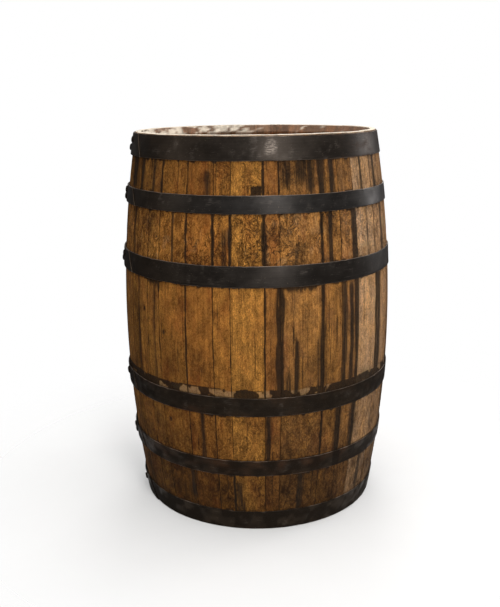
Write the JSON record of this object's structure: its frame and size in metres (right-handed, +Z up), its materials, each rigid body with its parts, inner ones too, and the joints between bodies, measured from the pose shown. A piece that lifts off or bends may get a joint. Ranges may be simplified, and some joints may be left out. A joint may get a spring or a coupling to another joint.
{
  "type": "oak barrel",
  "caption": "Bulging oak cask of narrow staves held by riveted steel hoops, with recessed dowelled heads and a tapered bung.",
  "frame": {"origin": "centre of the foot, in the plane of the stave ends that the barrel stands on", "axes": "+Z up along the barrel's axis; +Y out through the bung; +X to the right of someone who faces the side away from the bung"},
  "size_m": [0.6519, 0.653, 0.9],
  "materials": {
    "stave_oak": "weathered, rough-sawn, stained at the seams",
    "head_oak": "planed and weathered",
    "dowel_oak": "bare",
    "bung_wood": "turned, bare",
    "hoop_steel": "dark rolled steel, satin, scuffed and rusting",
    "rivet_steel": "dark, hammered"
  },
  "bodies": {
    "barrel": {"stave_01": "stave_oak", "stave_02": "stave_oak", "stave_03": "stave_oak", "stave_04": "stave_oak", "stave_05": "stave_oak", "stave_06": "stave_oak", "stave_07": "stave_oak", "stave_08": "stave_oak", "stave_09": "stave_oak", "stave_10": "stave_oak", "stave_11": "stave_oak", "stave_12": "stave_oak", "stave_13": "stave_oak", "stave_14": "stave_oak", "stave_15": "stave_oak", "stave_16": "stave_oak", "stave_17": "stave_oak", "stave_18": "stave_oak", "stave_19": "stave_oak", "stave_20": "stave_oak", "stave_21": "stave_oak", "stave_22": "stave_oak", "bung_stave": "stave_oak", "stave_24": "stave_oak", "stave_25": "stave_oak", "stave_26": "stave_oak", "stave_27": "stave_oak", "stave_28": "stave_oak", "stave_29": "stave_oak", "stave_30": "stave_oak", "stave_31": "stave_oak", "stave_32": "stave_oak", "bottom_head_hoop": "hoop_steel", "lower_quarter_hoop": "hoop_steel", "lower_bilge_hoop": "hoop_steel", "upper_bilge_hoop": "hoop_steel", "upper_quarter_hoop": "hoop_steel", "top_head_hoop": "hoop_steel", "bottom_head_hoop_rivets": "rivet_steel", "lower_quarter_hoop_rivets": "rivet_steel", "lower_bilge_hoop_rivets": "rivet_steel", "upper_bilge_hoop_rivets": "rivet_steel", "upper_quarter_hoop_rivets": "rivet_steel", "top_head_hoop_rivets": "rivet_steel", "top_head_board_01": "head_oak", "top_head_board_02": "head_oak", "top_head_board_03": "head_oak", "top_head_board_04": "head_oak", "top_head_board_05": "head_oak", "top_head_board_06": "head_oak", "bottom_head_board_01": "head_oak", "bottom_head_board_02": "head_oak", "bottom_head_board_03": "head_oak", "bottom_head_board_04": "head_oak", "bottom_head_board_05": "head_oak", "bottom_head_board_06": "head_oak", "top_head_dowels": "dowel_oak", "bottom_head_dowels": "dowel_oak"},
    "bung": {"bung": "bung_wood"}
  },
  "joints": [
    {"name": "bung_pull", "type": "slide", "parent": "barrel", "child": "bung", "axis": [0, 1, 0], "range_m": [0, 0.12]}
  ]
}
